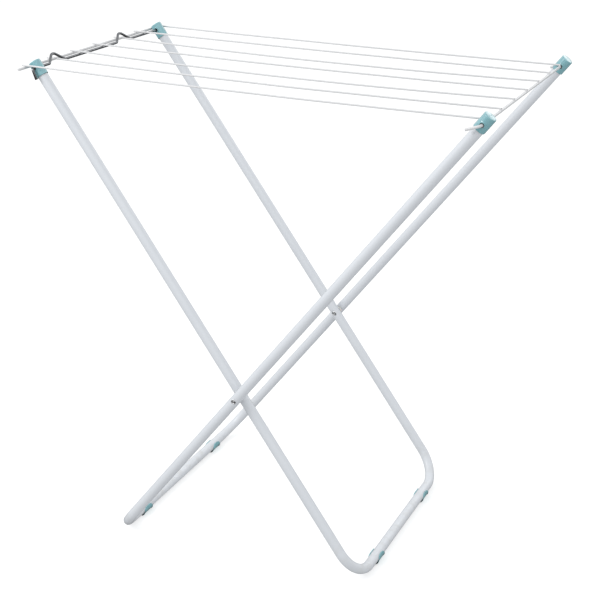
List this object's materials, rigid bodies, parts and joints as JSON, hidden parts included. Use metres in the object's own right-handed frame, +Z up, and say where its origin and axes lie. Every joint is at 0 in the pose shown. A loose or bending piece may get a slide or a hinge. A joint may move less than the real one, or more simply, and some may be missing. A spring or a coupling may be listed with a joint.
{
  "type": "folding clothes drying rack",
  "caption": "Folding X-frame clothes airer: two white tube frames with teal end caps and feet carry a hinged grid of drying lines.",
  "frame": {"origin": "centre of the footprint box on the floor, under the soles of the feet", "axes": "+Z up; X runs across the two crossed frames, +X towards the hinged side of the grid; Y runs along the bottom rails"},
  "size_m": [0.8818, 0.5334, 0.9343],
  "materials": {
    "frame_paint": "white powder coat, slightly glossy",
    "wire_coating": "white coated wire, satin",
    "teal_plastic": "pale teal moulded plastic, glossy",
    "zinc_rod": "bright zinc plate, slightly worn",
    "rivet_steel": "plated steel, smooth",
    "nylon": "natural nylon, matt"
  },
  "bodies": {
    "outer_frame": {"outer_frame_tube": "frame_paint", "outer_cap_front": "teal_plastic", "outer_cap_back": "teal_plastic", "outer_foot_front": "teal_plastic", "outer_foot_back": "teal_plastic", "pivot_rivet_front": "rivet_steel", "pivot_rivet_back": "rivet_steel", "pivot_spacer_front": "nylon", "pivot_spacer_back": "nylon"},
    "inner_frame": {"inner_frame_tube": "frame_paint", "inner_cap_front": "teal_plastic", "inner_cap_back": "teal_plastic", "inner_foot_front": "teal_plastic", "inner_foot_back": "teal_plastic", "catch_rod": "zinc_rod"},
    "line_grid": {"hinge_rail": "wire_coating", "hook_rail": "wire_coating", "drying_line_1": "wire_coating", "drying_line_2": "wire_coating", "drying_line_3": "wire_coating", "drying_line_4": "wire_coating", "drying_line_5": "wire_coating", "drying_line_6": "wire_coating", "drying_line_7": "wire_coating"}
  },
  "joints": [
    {"name": "frame_fold", "type": "hinge", "parent": "outer_frame", "child": "inner_frame", "pos_m": [-0.01903, 0, 0.34668], "axis": [0, 1, 0], "range_deg": [0, 65]},
    {"name": "grid_swing", "type": "hinge", "parent": "outer_frame", "child": "line_grid", "pos_m": [0.42207, 0, 0.90047], "axis": [0, 1, 0], "range_deg": [0, 31.8]}
  ],
  "couplings": [
    {"joint": "grid_swing", "follows": "frame_fold", "ratio": 0.488}
  ]
}
